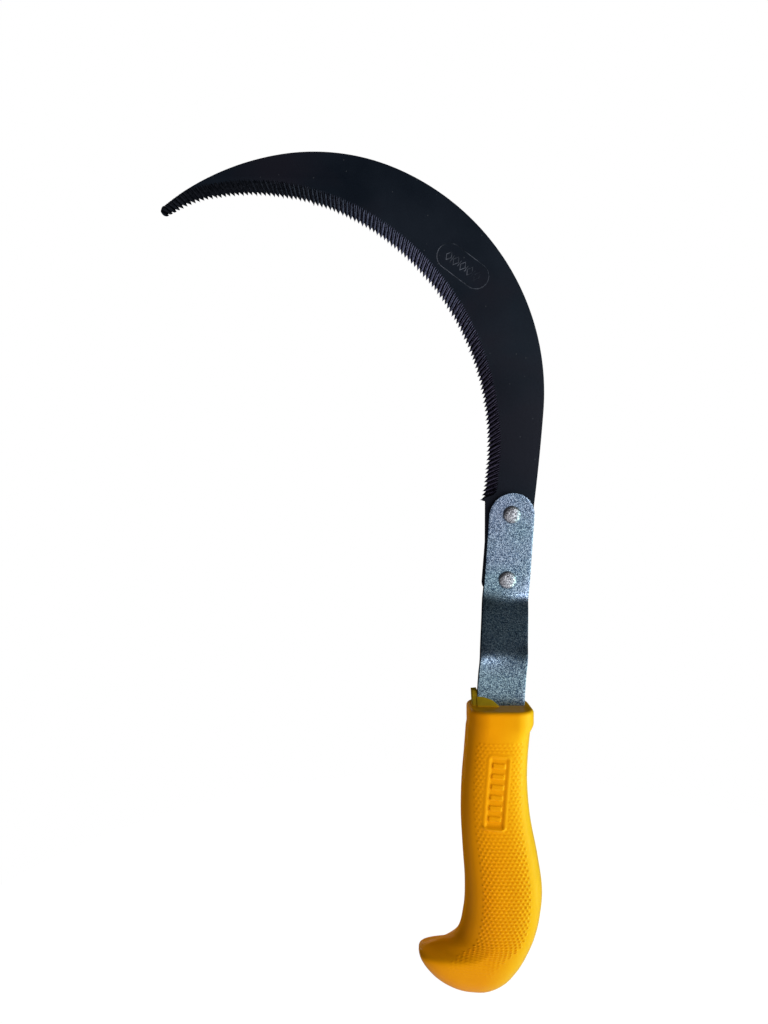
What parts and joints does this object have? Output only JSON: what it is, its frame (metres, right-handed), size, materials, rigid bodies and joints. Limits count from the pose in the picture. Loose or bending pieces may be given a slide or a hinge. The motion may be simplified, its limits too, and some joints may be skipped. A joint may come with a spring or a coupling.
{
  "type": "hand sickle",
  "caption": "Serrated crescent blade riveted to a cranked flat strap, whose tang is moulded into a hooked plastic grip.",
  "frame": {"origin": "in the middle of the grip, on the tang's middle plane, where the hand holds it", "axes": "+Z runs along the tool from the pommel to the blade, +X from the blade's tip towards its spine, and -Y is the side that the teeth are ground on and that the strap lies on"},
  "size_m": [0.1702, 0.0332, 0.3615],
  "materials": {
    "blade_steel": "blackened steel, satin, with bare ground flutes darkened by the same oil finish",
    "strap_steel": "galvanised, with a fine mottled spangle",
    "rivet_steel": "bright hammered heads",
    "handle_plastic": "yellow moulded plastic, satin, with a fine raised dot grip"
  },
  "bodies": {
    "root": {"blade": "blade_steel", "tang_strap": "strap_steel", "rivet_upper": "rivet_steel", "rivet_lower": "rivet_steel", "handle": "handle_plastic"}
  },
  "joints": []
}
